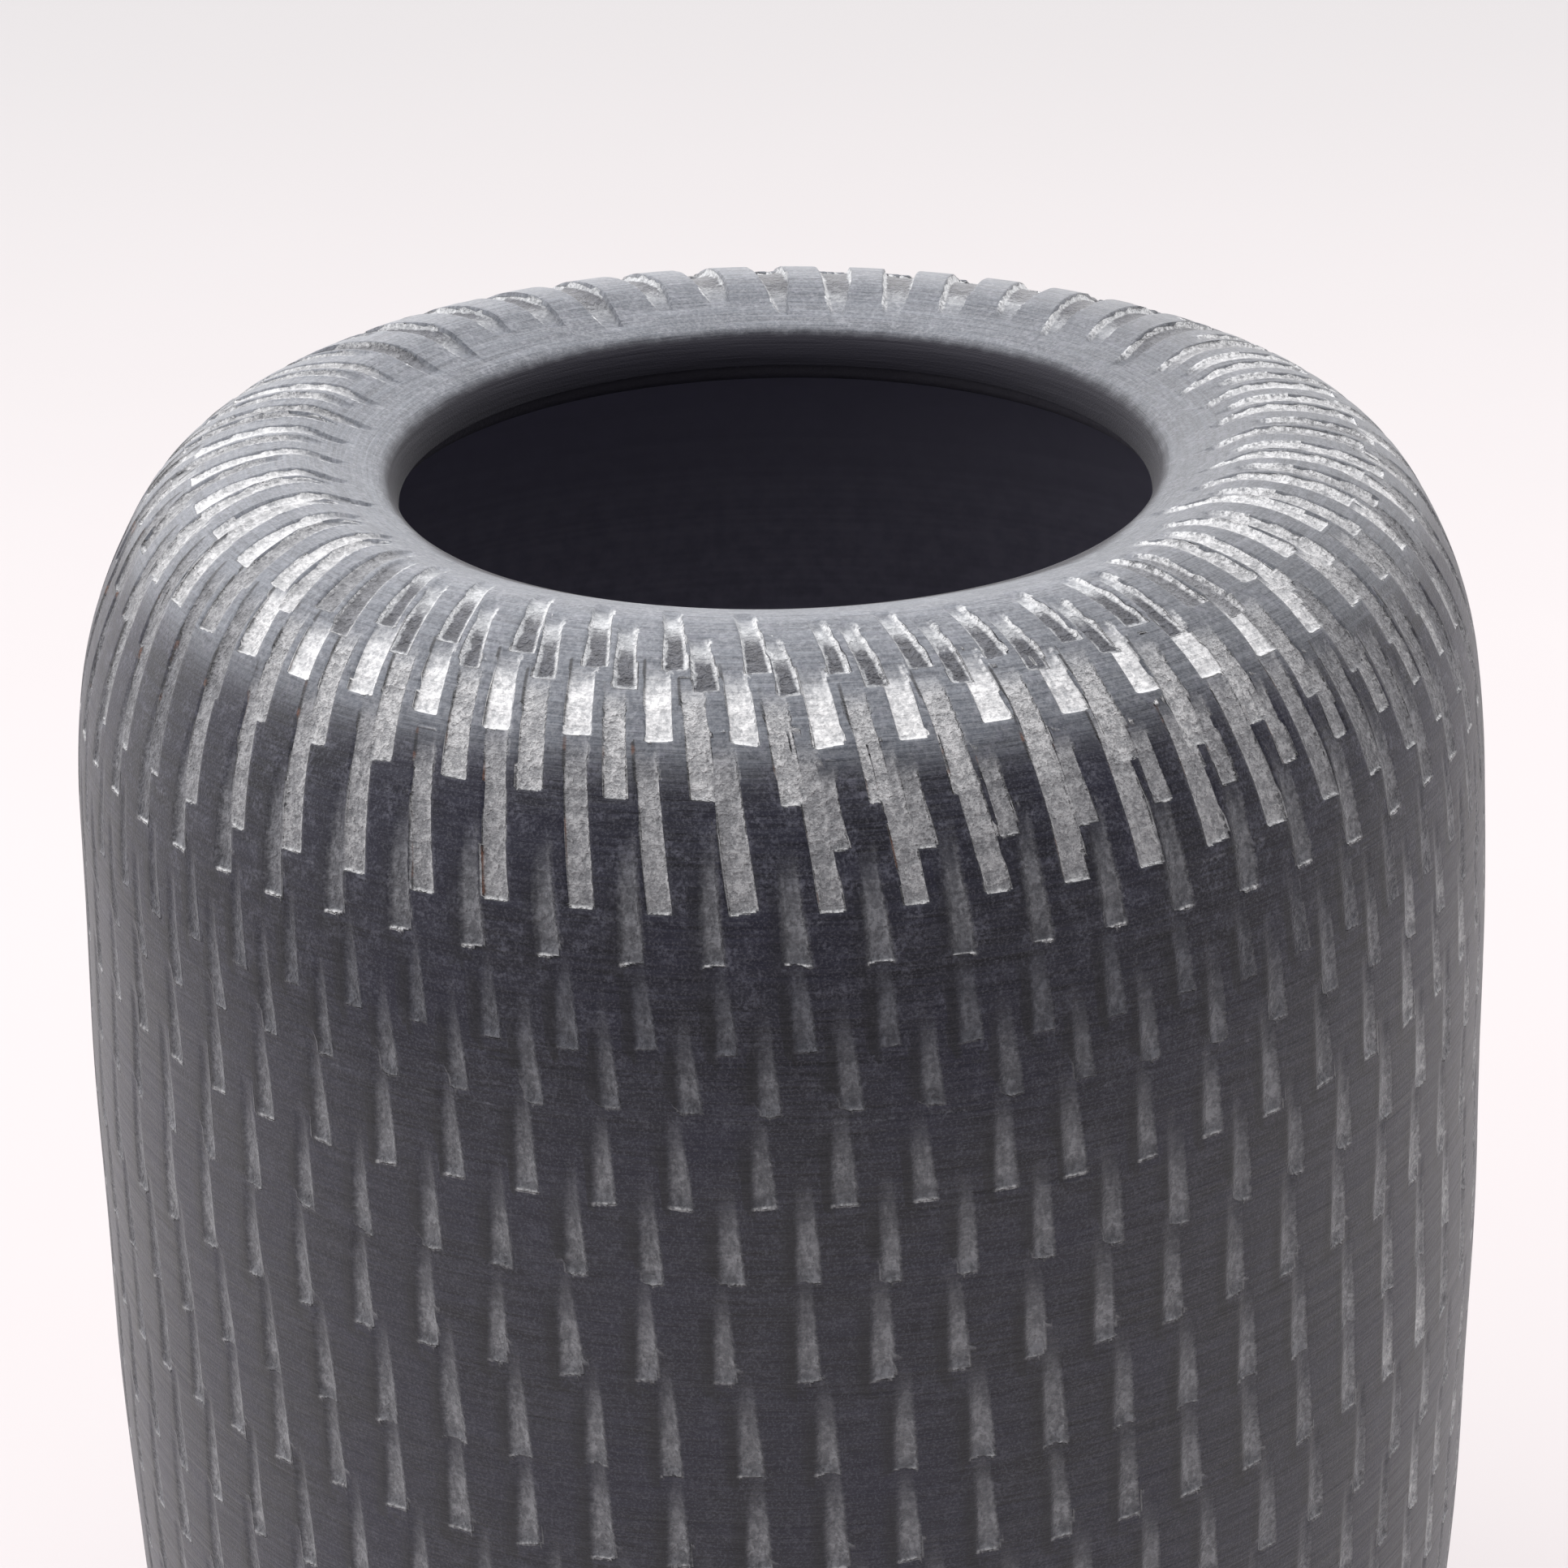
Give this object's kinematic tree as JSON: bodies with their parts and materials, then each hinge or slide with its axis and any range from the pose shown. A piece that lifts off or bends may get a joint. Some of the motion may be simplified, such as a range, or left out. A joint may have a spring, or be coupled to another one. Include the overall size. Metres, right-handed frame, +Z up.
{
  "type": "stoneware vase",
  "caption": "Barrel-shaped stoneware vase with a rounded shoulder, rolled-in mouth, foot ring and carved tool marks.",
  "frame": {"origin": "centre of the foot ring's resting plane, on the vase's axis", "axes": "+Z up through the mouth, along the vase's axis of revolution; X and Y are any two level directions at right angles"},
  "size_m": [0.18, 0.18, 0.25],
  "materials": {
    "fired_clay": "bare fired stoneware clay, matt and slightly gritty",
    "dark_slip": "dark blue-grey brushed slip, matt to dry satin, with lighter granular tool marks cut into it",
    "liner_glaze": "near-black matt liner glaze"
  },
  "bodies": {
    "root": {"stoneware_body": "fired_clay", "slip_coat": "dark_slip", "liner_glaze": "liner_glaze"}
  },
  "joints": []
}
